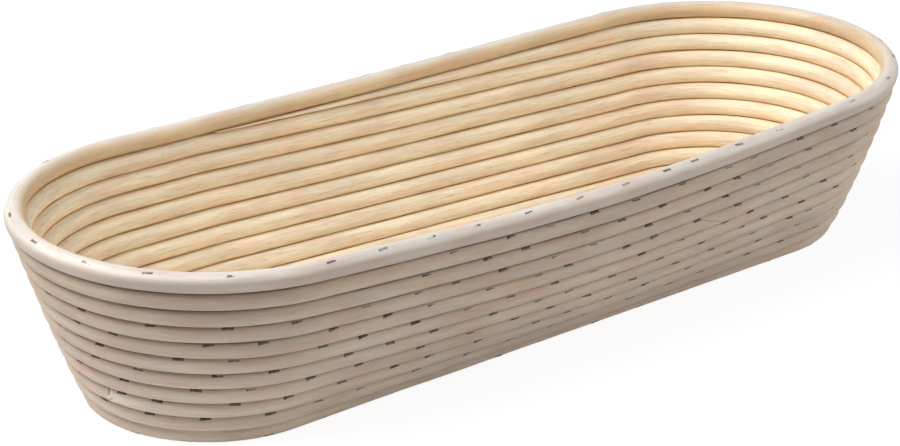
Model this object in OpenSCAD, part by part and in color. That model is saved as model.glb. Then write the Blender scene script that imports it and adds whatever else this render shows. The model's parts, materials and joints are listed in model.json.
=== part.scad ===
// Long oval proofing basket, coiled from rattan cane and stapled turn to turn.
// Millimetres, +Z up, X along the basket, origin at the middle of the resting plane.

/* [Cane] */
// Diameter of the rattan cane
cane_d = 6.2; // [5:0.1:8]
// Gap left between neighbouring turns of the coil
turn_gap = 0.5; // [0.45:0.05:0.8]

/* [Base] */
// Turns of cane in the flat base
base_turns = 7; // [5:1:8]
// Length of the straight runs of the base
base_run = 232; // [180:1:300]
// Depth of the flat under the base, as a share of the cane's diameter
foot_cut = 0.1; // [0.08:0.01:0.15]
// Thickness to which the cane's start is shaved, in the middle of the base
start_tip = 1.2; // [0.6:0.1:2]

/* [Wall] */
// Rows of cane above the base, the rim hoop included
wall_rows = 10; // [8:1:12]
// Lean of the long sides at their foot, from upright
side_foot_angle = 42; // [30:1:55]
// Lean of the long sides at the rim, from upright
side_rim_angle = 10.5; // [0:0.5:20]
// How close to the foot the long sides keep their lean, 1 for an even curve
side_lean_power = 1.1; // [0.5:0.1:3]
// Lean of the ends at their foot, from upright
end_foot_angle = 21.5; // [5:0.5:30]
// Lean of the ends at the rim, from upright
end_rim_angle = 16.5; // [5:0.5:30]
// How close to the foot the ends keep their lean, 1 for an even curve
end_lean_power = 3; // [0.5:0.1:4]
// How late the sides' lean gives way to the ends' lean along the basket
lean_blend = 1.7; // [1:0.1:4]

/* [Ends of the canes] */
// Direction that the base's splice faces, from the right end round by the back
base_splice_angle = 70; // [40:1:80]
// Length of the base splice's slanted cut
base_scarf = 8; // [4:1:12]
// Loops up to the lower splice, counted from the base's outer turn
lower_splice_rows = 2; // [1:1:3]
// Direction that the lower splice faces, from the right end round by the back
lower_splice_angle = 195; // [150:1:230]
// Length of the lower splice's slanted cut
lower_scarf = 2.5; // [1:0.5:8]
// Loops up to the upper splice, counted from the base's outer turn
upper_splice_rows = 6; // [4:1:7]
// Place of the upper splice along the front side, from the middle
upper_splice_x = 53; // [-60:1:60]
// Length of the upper splice's slanted cut
upper_scarf = 20; // [8:1:30]
// Direction that the rim hoop's closing splice faces, from the right end round by the back
rim_splice_angle = 11; // [-30:1:50]
// Length of the rim hoop's slanted cut
rim_scarf = 12; // [4:1:14]
// Clearance between the two faces of a splice
splice_gap = 0.3; // [0.2:0.05:0.5]
// Thickness to which the top cane's tail is shaved, under the rim hoop
tail_tip = 0.6; // [0.4:0.1:2]

/* [Staples] */
// Length of a staple's crown
staple_crown = 5.6; // [4:0.1:7]
// Length of a staple's legs
staple_leg = 9; // [8:0.1:10]
// Width of the staple wire
staple_width = 1; // [0.6:0.1:1.2]
// Thickness of the staple wire
staple_thick = 0.7; // [0.5:0.1:1]
// How far a crown stands out of the cane
staple_proud = 0.3; // [0.1:0.05:0.5]
// Distance between staples along the wall's middle row
staple_spacing = 20; // [18:1:40]
// Distance between staples along a turn of the base
base_staple_spacing = 24; // [20:1:40]
// Shift of the staples from one row to the next, as a share of their distance
staple_shift = 0.4; // [0.38:0.01:0.42]
// Turn of a base staple round its cane, from the outer side downwards
base_staple_angle = 20; // [0:1:25]
// Turn of a wall staple round its cane, from the top outwards
wall_staple_angle = 42; // [25:1:55]
// Turn of a rim staple round the hoop, from the top outwards
rim_staple_angle = 12; // [-20:1:30]

/* [Hidden] */

cane_colour = [0.80, 0.67, 0.53];
rim_colour = [0.90, 0.81, 0.69];
steel_colour = [0.38, 0.33, 0.29];

cane_r = cane_d / 2;
// Distance between the centre lines of neighbouring turns
pitch = cane_d + turn_gap;
half_run = base_run / 2;
// Centre height of the base's turns above the resting plane
base_z = cane_r - foot_cut * cane_d;
// Reach of the base's outer turn from the middle line
base_reach = (base_turns - 0.5) * pitch;

// Sides of a tube's section, rings along each straight side and rings round each end
tube_sides = 6;
side_rings = 4;
end_rings = 8;
loop_rings = 2 * (side_rings + end_rings);
// First rings of the left end, the front side and the right end in a loop
left_ring = side_rings;
front_ring = left_ring + end_rings;
right_ring = front_ring + side_rings;
// Rings nearer than this to a cut end are left out
end_clear = 0.3;

// A place along the coil is counted in rings. A loop starts at the right of the back side,
// runs left, round the left end, along the front and round the right end. The coil climbs
// one row on each pass along the back, and reaches row 0, the base's outer turn, in loop 0.
first_loop = 1 - base_turns;
function loop_of(n) = floor(n / loop_rings);
function ring_of(n) = n - loop_rings * loop_of(n);
function climb(n) = min(ring_of(n) / side_rings, 1);

// Direction that the outline faces at a place, and the middle of its run or arc there
function facing(n) =
    let (i = ring_of(n))
    i < left_ring ? 90
    : i < front_ring ? 90 + 180 * (i - left_ring) / end_rings
    : i < right_ring ? 270
    : 270 + 180 * (i - right_ring) / end_rings;
function middle_x(n) =
    let (i = ring_of(n))
    i < left_ring ? half_run - base_run * i / side_rings
    : i < front_ring ? -half_run
    : i < right_ring ? base_run * (i - front_ring) / side_rings - half_run
    : half_run;

// Lean of the wall, from upright, between a row and the one above it
function blend(from, to, share) = from + (to - from) * share;
function along(n) =
    abs(middle_x(n) + base_reach * cos(facing(n))) / (half_run + base_reach);
function lean(row, n) =
    let (depth = max(0, 1 - (row + 0.5) / wall_rows),
         side = blend(side_rim_angle, side_foot_angle, pow(depth, side_lean_power)),
         end = blend(end_rim_angle, end_foot_angle, pow(depth, end_lean_power)))
    blend(side, end, pow(along(n), lean_blend));

// Reach and height of a row from the base's outer turn: every row is one pitch from the last
function wall_offset(row, n, step = 0) =
    step >= row ? [0, 0]
    : min(row - step, 1) * pitch * [sin(lean(step, n)), cos(lean(step, n))]
      + wall_offset(row, n, step + 1);
function row_offset(row, n) = row <= 0 ? [row * pitch, 0] : wall_offset(row, n);

// Direction from the row below to the row above, measured up from level
function stack_angle(row, n) =
    let (step = row_offset(row + 0.5, n) - row_offset(row - 0.5, n))
    atan2(step[1], step[0]);
// Direction to a row from the one below it, against which a staple is driven
function drive_angle(row, n) =
    let (step = row_offset(row, n) - row_offset(row - 1, n))
    atan2(step[1], step[0]);

// Point in space at a place, given its reach and height from the base's outer turn
function spot(n, offset) =
    let (a = facing(n), reach = base_reach + offset[0])
    [middle_x(n) + reach * cos(a), reach * sin(a), base_z + offset[1]];

// Length of the run from one ring to the next
function ring_length(n, row) =
    let (i = ring_of(n))
    i < left_ring || (i >= front_ring && i < right_ring) ? base_run / side_rings
    : PI * (base_reach + row_offset(row, n)[0]) / end_rings;

// Section of a cane at [place, row, height, slant]: two corners in line with the rows, the
// height between them less where the cane is shaved, the foot cut flat, and a slanted end
// leaning back at the top.
function section(ring) =
    let (n = ring[0],
         middle = row_offset(ring[1], n),
         turn = stack_angle(ring[1], n),
         forward = [-sin(facing(n)), cos(facing(n)), 0])
    [for (s = [0 : tube_sides - 1])
        let (corner = 360 * s / tube_sides,
             u = ring[2] / 2 * cos(corner),
             v = cane_r * sin(corner),
             reach = middle[0] + u * cos(turn) + v * sin(turn),
             height = middle[1] + u * sin(turn) - v * cos(turn))
        spot(n, [reach, max(height, -base_z)]) - ring[3] / 2 * cos(corner) * forward];

// Section of the coil at a place. The first pass along the back swells from the shaved
// start, and the last one thins to the shaved tail, each between its two neighbours.
function coil_ring(n, slant = 0) =
    let (loop = loop_of(n), c = climb(n))
    c == 1 ? [n, loop, cane_d, slant]
    : loop == first_loop ? [n, loop - 0.5 + c / 2, c * pitch - turn_gap, slant]
    : loop == wall_rows ? [n, loop - 1 + c / 2, (1 - c) * pitch - turn_gap, slant]
    : [n, loop - 1 + c, cane_d, slant];

// Rings of a cane from one cut end to the other
function coil_rings(from, to, from_slant, to_slant) = concat(
    [coil_ring(from, from_slant)],
    [for (n = [ceil(from + end_clear) : floor(to - end_clear)]) coil_ring(n)],
    [coil_ring(to, to_slant)]);

// Places of the cut ends. A splice is opened along the run until its faces are clear.
coil_start = first_loop * loop_rings + side_rings * (start_tip + turn_gap) / pitch;
coil_end = wall_rows * loop_rings + side_rings * (1 - (tail_tip + turn_gap) / pitch);
base_splice = right_ring + end_rings * (base_splice_angle + 90) / 180;
lower_splice = lower_splice_rows * loop_rings + left_ring
    + end_rings * (lower_splice_angle - 90) / 180;
upper_splice = upper_splice_rows * loop_rings + front_ring
    + side_rings * (upper_splice_x + half_run) / base_run;
rim_splice = right_ring + end_rings * (rim_splice_angle + 90) / 180;
function half_open(n, row, scarf) =
    splice_gap / 2 * norm([1, scarf / cane_d]) / ring_length(n, row);
base_open = half_open(base_splice, 0, base_scarf);
lower_open = half_open(lower_splice, lower_splice_rows, lower_scarf);
upper_open = half_open(upper_splice, upper_splice_rows, upper_scarf);
rim_open = half_open(rim_splice, wall_rows, rim_scarf);

base_rings = coil_rings(coil_start, base_splice - base_open, 0, base_scarf);
lower_rings = coil_rings(base_splice + base_open, lower_splice - lower_open,
                         base_scarf, lower_scarf);
middle_rings = coil_rings(lower_splice + lower_open, upper_splice - upper_open,
                          lower_scarf, upper_scarf);
top_rings = coil_rings(upper_splice + upper_open, coil_end, upper_scarf, 0);
rim_from = rim_splice + rim_open;
rim_to = rim_splice + loop_rings - rim_open;
rim_rings = concat(
    [[rim_from, wall_rows, cane_d, rim_scarf]],
    [for (n = [ceil(rim_from + end_clear) : floor(rim_to - end_clear)]) [n, wall_rows, cane_d, 0]],
    [[rim_to, wall_rows, cane_d, rim_scarf]]);

// Least gap between one turn and the next, measured on the corners of their sections
function section_gap(a, b) = min([for (p = section(a), q = section(b)) norm(p - q)]);
coil_gap = min([for (n = [ceil(coil_start) + loop_rings : floor(coil_end)])
    section_gap(coil_ring(n), coil_ring(n - loop_rings))]);
rim_gap = min([for (i = [side_rings : loop_rings - 1])
    section_gap([i, wall_rows, cane_d, 0], coil_ring((wall_rows - 1) * loop_rings + i))]);
echo(str("Least gap between the turns of the coil: ", coil_gap, " mm"));
echo(str("Least gap between the coil and the rim hoop: ", rim_gap, " mm"));

// Closed tube through a list of rings
module tube(rings) {
    points = [for (ring = rings) each section(ring)];
    last = (len(rings) - 1) * tube_sides;
    skin = [for (k = [0 : tube_sides : last - 1], s = [0 : tube_sides - 1])
        let (a = k + s, b = k + (s + 1) % tube_sides)
        each [[a, a + tube_sides, b], [b, a + tube_sides, b + tube_sides]]];
    start_face = [for (s = [1 : tube_sides - 2]) [0, s, s + 1]];
    end_face = [for (s = [1 : tube_sides - 2]) [last, last + s + 1, last + s]];
    polyhedron(points = points, faces = concat(skin, start_face, end_face));
}

// One staple, its crown on the flank of a cane and its legs through it into the row below.
// It sits on the chord between two rings, as the cane does there.
module staple(n, row, turn) {
    half = staple_crown / 2;
    inner = half - staple_thick;
    ring = floor(n);
    chord = n - ring;
    offset = row_offset(row, n);
    seat = blend(spot(ring, offset), spot(ring + 1, offset), chord);
    translate(seat)
        rotate([0, 90 + turn / 2 - drive_angle(row, n), facing(ring + 0.5)])
            translate([cane_r * sin(turn / 2), 0, cane_r * cos(turn / 2) + staple_proud])
                rotate([90, 0, 90])
                    linear_extrude(staple_width, center = true)
                        polygon([[-half, 0], [-half, -staple_leg], [-inner, -staple_leg],
                                 [-inner, -staple_thick], [inner, -staple_thick],
                                 [inner, -staple_leg], [half, -staple_leg], [half, 0]]);
}

// Stretches of a loop, as their first ring and their number of rings
stretches = [[0, side_rings], [left_ring, end_rings], [front_ring, side_rings],
             [right_ring, end_rings]];

// Places of staples spread evenly from a ring on, moved on by a share of their distance
function share(number) = number - floor(number);
function spread(first, rings, count, start) =
    [for (j = [0 : count - 1]) first + rings * (j + share(start)) / count];

// Staples on a stretch of each wall row and of the rim: one number for all, so that they keep
// their shift, and an even one, so that the rim has a staple at each tip
function wall_count(first, rings) =
    let (half = rings / 2)
    2 * max(1, round(half * ring_length(first + half, wall_rows / 2) / staple_spacing));
function base_count(n, rings, loop) =
    max(1, round(rings * ring_length(n, loop) / base_staple_spacing));

module wall_staples(first, rings) {
    count = wall_count(first, rings);
    color(steel_colour)
        for (loop = [1 : wall_rows - 1]) {
            start = 0.5 + (loop + 1 - wall_rows) * staple_shift;
            for (n = spread(loop * loop_rings + first, rings, count, start))
                staple(n, coil_ring(n)[1], wall_staple_angle);
        }
}

module base_cane() {
    color(cane_colour) tube(base_rings);
}

module lower_cane() {
    color(cane_colour) tube(lower_rings);
}

module middle_cane() {
    color(cane_colour) tube(middle_rings);
}

module top_cane() {
    color(cane_colour) tube(top_rings);
}

module rim_hoop() {
    color(rim_colour) tube(rim_rings);
}

module base_staples() {
    color(steel_colour)
        for (loop = [first_loop + 1 : 0], stretch = stretches) {
            first = loop * loop_rings + stretch[0];
            count = base_count(first, stretch[1], loop);
            for (n = spread(first, stretch[1], count, 0.5 + loop * staple_shift))
                staple(n, coil_ring(n)[1], base_staple_angle);
        }
}

module front_staples() {
    wall_staples(front_ring, side_rings);
}

module back_staples() {
    wall_staples(0, side_rings);
}

module left_staples() {
    wall_staples(left_ring, end_rings);
}

module right_staples() {
    wall_staples(right_ring, end_rings);
}

module rim_staples() {
    color(steel_colour)
        for (stretch = stretches) {
            count = wall_count(stretch[0], stretch[1]);
            for (n = spread(stretch[0], stretch[1], count, 0))
                staple(n, wall_rows, rim_staple_angle);
        }
}

base_cane();
lower_cane();
middle_cane();
top_cane();
rim_hoop();
base_staples();
front_staples();
back_staples();
left_staples();
right_staples();
rim_staples();
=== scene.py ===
"""Long oval proofing basket of coiled cane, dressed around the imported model.

The canes are swept along the coil's route and the staples are set on it by geometry nodes.
Everything is in metres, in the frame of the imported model.
"""

import json
import logging
import math
from dataclasses import dataclass, field
from enum import Enum

import bpy
import numpy as np
from mathutils import Matrix, Vector

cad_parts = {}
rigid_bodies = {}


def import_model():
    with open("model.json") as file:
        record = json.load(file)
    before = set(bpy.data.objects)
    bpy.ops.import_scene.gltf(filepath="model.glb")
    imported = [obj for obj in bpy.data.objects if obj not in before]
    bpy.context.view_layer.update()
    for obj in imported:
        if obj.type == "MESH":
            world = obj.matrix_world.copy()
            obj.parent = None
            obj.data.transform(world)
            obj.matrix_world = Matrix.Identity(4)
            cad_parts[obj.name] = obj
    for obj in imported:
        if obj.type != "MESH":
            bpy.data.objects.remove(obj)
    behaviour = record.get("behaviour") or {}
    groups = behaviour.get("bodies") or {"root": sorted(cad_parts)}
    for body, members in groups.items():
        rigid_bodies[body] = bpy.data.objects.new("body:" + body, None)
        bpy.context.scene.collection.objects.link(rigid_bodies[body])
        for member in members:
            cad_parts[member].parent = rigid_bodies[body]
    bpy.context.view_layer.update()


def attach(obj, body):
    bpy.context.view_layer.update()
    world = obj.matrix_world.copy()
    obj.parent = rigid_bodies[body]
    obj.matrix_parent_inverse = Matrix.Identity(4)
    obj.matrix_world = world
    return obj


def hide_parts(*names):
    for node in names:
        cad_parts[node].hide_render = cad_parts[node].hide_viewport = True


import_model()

LOG = logging.getLogger("proofing_basket")
BODY = "root"
MM = 0.001
STRAY_SEED = 5
NUMBER = "NodeSocketFloat"
WHOLE = "NodeSocketInt"
VECTOR = "NodeSocketVector"
GEOMETRY = "NodeSocketGeometry"
MATERIAL = "NodeSocketMaterial"
Colour = tuple[float, float, float]
Spot = tuple[float, float, float]
Limits = tuple[float, float]
Feeds = dict[str | int, object]
Socket = bpy.types.NodeSocket


class Slot(Enum):
    """Material slots of the record."""

    CANE = "cane"
    RIM = "rim_cane"
    STEEL = "steel"


class Stretch(Enum):
    """Stretches of one loop of the coil, in the order in which the cane runs."""

    BACK = "back"
    LEFT = "left"
    FRONT = "front"
    RIGHT = "right"


# Route of the coil


@dataclass(frozen=True)
class Winding:
    """Route of the coil. A place along it is counted in rings, as in the part's source."""

    cane_d: float = 6.2 * MM
    turn_gap: float = 0.5 * MM
    base_turns: int = 7
    base_run: float = 232 * MM
    foot_cut: float = 0.1
    wall_rows: int = 10
    side_foot_angle: float = 42.0
    side_rim_angle: float = 10.5
    side_lean_power: float = 1.1
    end_foot_angle: float = 21.5
    end_rim_angle: float = 16.5
    end_lean_power: float = 3.0
    lean_blend: float = 1.7
    climb_share: float = 0.84
    hoop_offset: float = 40.0
    side_rings: int = 4
    end_rings: int = 8
    steps_per_ring: int = 20

    @property
    def pitch(self) -> float:
        """Distance between the centre lines of neighbouring turns."""
        return self.cane_d + self.turn_gap

    @property
    def base_z(self) -> float:
        """Centre height of the base's turns."""
        return self.cane_d * (0.5 - self.foot_cut)

    @property
    def base_reach(self) -> float:
        """Reach of the base's outer turn from the middle line."""
        return (self.base_turns - 0.5) * self.pitch

    @property
    def loop_rings(self) -> int:
        """Rings in one loop."""
        return 2 * (self.side_rings + self.end_rings)

    @property
    def climb_rings(self) -> float:
        """Rings along the back on which the coil climbs to its next row."""
        return self.climb_share * self.side_rings

    @property
    def first_loop(self) -> int:
        """Number of the loop in which the coil starts."""
        return 1 - self.base_turns

    def stretch(self, stretch: Stretch) -> tuple[int, int]:
        """First ring of a stretch and its number of rings."""
        side, end = self.side_rings, self.end_rings
        return {
            Stretch.BACK: (0, side),
            Stretch.LEFT: (side, end),
            Stretch.FRONT: (side + end, side),
            Stretch.RIGHT: (2 * side + end, end),
        }[stretch]

    def by_stretch(self, n: np.ndarray, *values: object) -> np.ndarray:
        """Picks one of four values for each place, for the back, left, front and right."""
        i = self.ring_of(n)
        ends = [sum(self.stretch(s)) for s in (Stretch.BACK, Stretch.LEFT, Stretch.FRONT)]
        return np.select([i < end for end in ends], values[:-1], values[-1])

    def loop_of(self, n: np.ndarray) -> np.ndarray:
        """Loop in which each place lies."""
        return np.floor(n / self.loop_rings)

    def ring_of(self, n: np.ndarray) -> np.ndarray:
        """Place of each point within its loop."""
        return n - self.loop_rings * self.loop_of(n)

    def climb(self, n: np.ndarray) -> np.ndarray:
        """Share of the row that the coil has climbed on its pass along the back."""
        return np.minimum(self.ring_of(n) / self.climb_rings, 1.0)

    def facing(self, n: np.ndarray) -> np.ndarray:
        """Direction that the outline faces, in radians from +X."""
        i = self.ring_of(n)
        round_left = 90 + 180 * (i - self.stretch(Stretch.LEFT)[0]) / self.end_rings
        round_right = 270 + 180 * (i - self.stretch(Stretch.RIGHT)[0]) / self.end_rings
        return np.radians(self.by_stretch(n, 90.0, round_left, 270.0, round_right))

    def forward(self, n: np.ndarray) -> np.ndarray:
        """Level directions in which the coil runs."""
        facing = self.facing(n)
        return np.stack([-np.sin(facing), np.cos(facing), np.zeros_like(facing)], axis=-1)

    def across(self, n: np.ndarray, angle: np.ndarray) -> np.ndarray:
        """Directions across the run, at an angle up from level."""
        facing = self.facing(n)
        level = np.cos(angle)
        return np.stack([level * np.cos(facing), level * np.sin(facing), np.sin(angle)], axis=-1)

    def middle_x(self, n: np.ndarray) -> np.ndarray:
        """Place along X of the middle of the run or arc."""
        i = self.ring_of(n)
        half = self.base_run / 2
        back_x = half - self.base_run * i / self.side_rings
        front_x = self.base_run * (i - self.stretch(Stretch.FRONT)[0]) / self.side_rings - half
        return self.by_stretch(n, back_x, -half, front_x, half)

    def lean(self, step: int, n: np.ndarray) -> np.ndarray:
        """Lean of the wall from upright between a row and the one above it, in radians.

        Args:
            step: The lower row.
            n: Places along the coil.

        Returns:
            The lean at each place.
        """
        depth = max(0.0, 1 - (step + 0.5) / self.wall_rows)
        side = np.interp(depth**self.side_lean_power, [0, 1], [self.side_rim_angle, self.side_foot_angle])
        end = np.interp(depth**self.end_lean_power, [0, 1], [self.end_rim_angle, self.end_foot_angle])
        reach_x = np.abs(self.middle_x(n) + self.base_reach * np.cos(self.facing(n)))
        along = reach_x / (self.base_run / 2 + self.base_reach)
        return np.radians(side + (end - side) * along**self.lean_blend)

    def row_offset(self, row: np.ndarray, n: np.ndarray) -> tuple[np.ndarray, np.ndarray]:
        """Reach and height of a row from the base's outer turn.

        Args:
            row: Rows above the base's outer turn, negative inside the base.
            n: Places along the coil.

        Returns:
            Reach outwards and height upwards.
        """
        reach = np.minimum(row, 0.0) * self.pitch
        height = np.zeros_like(reach)
        for step in range(self.wall_rows + 1):
            part = np.clip(row - step, 0.0, 1.0) * self.pitch
            lean = self.lean(step, n)
            reach = reach + part * np.sin(lean)
            height = height + part * np.cos(lean)
        return reach, height

    def angle_between(self, low: np.ndarray, high: np.ndarray, n: np.ndarray) -> np.ndarray:
        """Direction from one row to another, up from level, in radians."""
        low_reach, low_height = self.row_offset(low, n)
        high_reach, high_height = self.row_offset(high, n)
        return np.arctan2(high_height - low_height, high_reach - low_reach)

    def upright(self, row: np.ndarray, n: np.ndarray) -> np.ndarray:
        """Direction of the wall through a row, up from level, in radians."""
        return self.angle_between(row - 0.5, row + 0.5, n)

    def spot(self, row: np.ndarray, n: np.ndarray) -> np.ndarray:
        """Points on the centre line of a row."""
        reach, height = self.row_offset(row, n)
        facing = self.facing(n)
        out = self.base_reach + reach
        x = self.middle_x(n) + out * np.cos(facing)
        return np.stack([x, out * np.sin(facing), self.base_z + height], axis=-1)

    def ring_length(self, n: float, row: float) -> float:
        """Length of the run from one ring to the next."""
        place = np.array([n])
        i = float(self.ring_of(place)[0])
        for stretch in (Stretch.BACK, Stretch.FRONT):
            first, rings = self.stretch(stretch)
            if first <= i < first + rings:
                return self.base_run / self.side_rings
        reach = self.base_reach + float(self.row_offset(np.array([float(row)]), place)[0][0])
        return math.pi * reach / self.end_rings

    def coil_row(self, n: np.ndarray) -> np.ndarray:
        """Row of the coil at each place."""
        return self.loop_of(n) - 1 + self.climb(n)

    def along(self, n: np.ndarray, level_row: float | None = None) -> np.ndarray:
        """Length of cane from the start of the coil, or round a level hoop that follows it.

        Args:
            n: Places along the coil or the hoop.
            level_row: Row of the hoop, or none for the coil.

        Returns:
            The length at each place.
        """
        first, last = self.first_loop * self.loop_rings, (self.wall_rows + 1) * self.loop_rings
        places = np.linspace(first, last, self.steps_per_ring * (last - first) + 1)
        row = self.coil_row(places) if level_row is None else np.full_like(places, level_row)
        steps = np.linalg.norm(np.diff(self.spot(row, places), axis=0), axis=1)
        length = np.interp(n, places, np.concatenate([[0.0], np.cumsum(steps)]))
        return length if level_row is None else length + self.hoop_offset

    def around(self, angle: float) -> float:
        """Place on the left or right end, in rings, that faces an angle in degrees."""
        turned = (angle + 90) % 360
        if turned < 180:
            first, rings = self.stretch(Stretch.RIGHT)
            return first + rings * turned / 180
        first, rings = self.stretch(Stretch.LEFT)
        return first + rings * (turned - 180) / 180


# Small helpers for node trees


class TreeMaker:
    """Adds nodes to one tree and links them.

    The sockets of a Mix node share their names, so those for colours are known by number.
    """

    COLOUR_A = 6
    COLOUR_B = 7
    COLOUR_RESULT = 2

    def __init__(self, tree: bpy.types.NodeTree) -> None:
        """Keeps the tree."""
        self.tree = tree

    def feed(self, node: bpy.types.Node, feeds: Feeds) -> None:
        """Links sockets to a node's inputs, or sets the inputs' values."""
        for key, value in feeds.items():
            target = node.inputs[key]
            if isinstance(value, Socket):
                self.tree.links.new(value, target)
            else:
                target.default_value = value

    def node(self, kind: str, feeds: Feeds | None = None, **settings: object) -> bpy.types.Node:
        """Adds a node.

        Args:
            kind: Type of the node.
            feeds: Socket or value by an input's name or number.
            **settings: Properties of the node.

        Returns:
            The new node.
        """
        made = self.tree.nodes.new(kind)
        for key, value in settings.items():
            setattr(made, key, value)
        self.feed(made, feeds or {})
        return made

    def math(self, operation: str, *values: object, clamp: bool = False) -> Socket:
        """Result of a Math node."""
        feeds = dict(enumerate(values))
        return self.node("ShaderNodeMath", feeds, operation=operation, use_clamp=clamp).outputs[0]

    def times(self, first: object, second: object) -> Socket:
        """Product of two numbers."""
        return self.math("MULTIPLY", first, second)

    def minus(self, first: object, second: object) -> Socket:
        """Difference of two numbers."""
        return self.math("SUBTRACT", first, second)

    def vector(self, operation: str, *values: object, result: str = "Vector") -> Socket:
        """Result of a Vector Math node."""
        feeds = dict(enumerate(values))
        return self.node("ShaderNodeVectorMath", feeds, operation=operation).outputs[result]

    def scale(self, vector: object, factor: object) -> Socket:
        """A vector times a number."""
        feeds = {"Vector": vector, "Scale": factor}
        return self.node("ShaderNodeVectorMath", feeds, operation="SCALE").outputs["Vector"]

    def split(self, vector: Socket) -> tuple[Socket, ...]:
        """The three parts of a vector."""
        return tuple(self.node("ShaderNodeSeparateXYZ", {0: vector}).outputs)

    def join(self, *parts: object) -> Socket:
        """A vector from its three parts."""
        return self.node("ShaderNodeCombineXYZ", dict(enumerate(parts))).outputs[0]

    def ramp(self, value: Socket, limits: Limits) -> Socket:
        """A value turned smoothly into 0 at the first limit and 1 at the second."""
        feeds = {"Value": value, "From Min": limits[0], "From Max": limits[1]}
        return self.node("ShaderNodeMapRange", feeds, interpolation_type="SMOOTHSTEP").outputs["Result"]

    def noise(self, vector: Socket, detail: float, roughness: float = 0.5) -> Socket:
        """Noise at a point that is already scaled."""
        feeds = {"Vector": vector, "Scale": 1.0, "Detail": detail, "Roughness": roughness}
        return self.node("ShaderNodeTexNoise", feeds, noise_dimensions="3D").outputs["Fac"]

    def mix(self, factor: object, first: object, second: object, blend: str = "MIX") -> Socket:
        """A mix of two colours, each given as a socket or as a colour."""
        first, second = (c if isinstance(c, Socket) else (*c, 1.0) for c in (first, second))
        feeds = {0: factor, self.COLOUR_A: first, self.COLOUR_B: second}
        made = self.node("ShaderNodeMix", feeds, data_type="RGBA", blend_type=blend)
        return made.outputs[self.COLOUR_RESULT]

    def attribute(self, name: str, output: str = "Fac") -> Socket:
        """A named attribute of the surface, for a material."""
        return self.node("ShaderNodeAttribute", attribute_name=name).outputs[output]


class NodeGroup(TreeMaker):
    """A node group with named inputs and outputs."""

    def __init__(self, name: str, kind: str, inputs: dict[str, str], outputs: dict[str, str]) -> None:
        """Makes the group.

        Args:
            name: Name of the group.
            kind: Type of its tree.
            inputs: Socket type by input name.
            outputs: Socket type by output name.
        """
        super().__init__(bpy.data.node_groups.new(name, kind))
        add = self.tree.interface.new_socket
        self.ids = {
            key: add(key, in_out="INPUT", socket_type=socket).identifier for key, socket in inputs.items()
        }
        for key, socket in outputs.items():
            add(key, in_out="OUTPUT", socket_type=socket)
        self.given = self.node("NodeGroupInput").outputs
        self.end = self.node("NodeGroupOutput")


class GeometryTree(NodeGroup):
    """A geometry node tree with named inputs and one geometry output.

    The sockets of a Random Value node share their names, so those for numbers are known by number.
    """

    RANDOM_LOW = 2
    RANDOM_HIGH = 3
    RANDOM_RESULT = 1

    def __init__(self, name: str, sockets: dict[str, str]) -> None:
        """Makes the tree.

        Args:
            name: Name of the tree.
            sockets: Socket type by input name, after the geometry input.
        """
        plain = {"Geometry": GEOMETRY}
        super().__init__(name, "GeometryNodeTree", {**plain, **sockets, "Material": MATERIAL}, plain)

    def shape(self, kind: str, feeds: Feeds, **settings: object) -> Socket:
        """Geometry from a new node."""
        return self.node(kind, feeds, **settings).outputs[0]

    def named(self, name: str, kind: str = "FLOAT_VECTOR") -> Socket:
        """A named attribute of the geometry."""
        made = self.node("GeometryNodeInputNamedAttribute", {"Name": name}, data_type=kind)
        return made.outputs["Attribute"]

    def number(self, name: str) -> Socket:
        """A named attribute of the geometry that is a number."""
        return self.named(name, "FLOAT")

    def store(self, geometry: Socket, name: str, value: Socket, **settings: str) -> Socket:
        """Geometry with a value kept in a named attribute."""
        feeds = {"Geometry": geometry, "Name": name, "Value": value}
        return self.shape("GeometryNodeStoreNamedAttribute", feeds, **settings)

    def random(self, low: object, high: object, seed: object) -> Socket:
        """A random number for each point."""
        feeds = {self.RANDOM_LOW: low, self.RANDOM_HIGH: high, "Seed": seed}
        return self.node("FunctionNodeRandomValue", feeds, data_type="FLOAT").outputs[self.RANDOM_RESULT]

    def turn(self, axis: str, side: str) -> Socket:
        """Rotation that turns Z to one named direction and X towards another."""
        feeds = {"Primary Axis": self.named(axis), "Secondary Axis": self.named(side)}
        return self.node("FunctionNodeAxesToRotation", feeds, primary_axis="Z", secondary_axis="X").outputs[0]

    def finish(self, geometry: Socket) -> None:
        """Ends the tree in plain geometry with its material."""
        plain = self.shape("GeometryNodeRealizeInstances", {"Geometry": geometry})
        feeds = {"Geometry": plain, "Material": self.given["Material"]}
        self.feed(self.end, {"Geometry": self.shape("GeometryNodeSetMaterial", feeds)})

    def grow(self, name: str, source: bpy.types.Mesh, values: dict[str, object]) -> bpy.types.Object:
        """Runs the tree on a mesh.

        Args:
            name: Name of the new piece.
            source: Mesh that the tree starts from. It is removed.
            values: Value by input name.

        Returns:
            An object with the result as a plain mesh.
        """
        piece = bpy.data.objects.new(name, source)
        bpy.context.scene.collection.objects.link(piece)
        modifier = piece.modifiers.new(name, "NODES")
        modifier.node_group = self.tree
        for key, value in values.items():
            modifier[self.ids[key]] = value
        graph = bpy.context.evaluated_depsgraph_get()
        mesh = bpy.data.meshes.new_from_object(
            piece.evaluated_get(graph), preserve_all_data_layers=True, depsgraph=graph
        )
        piece.modifiers.clear()
        piece.data = mesh
        mesh.name = name
        bpy.data.meshes.remove(source)
        return piece


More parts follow.
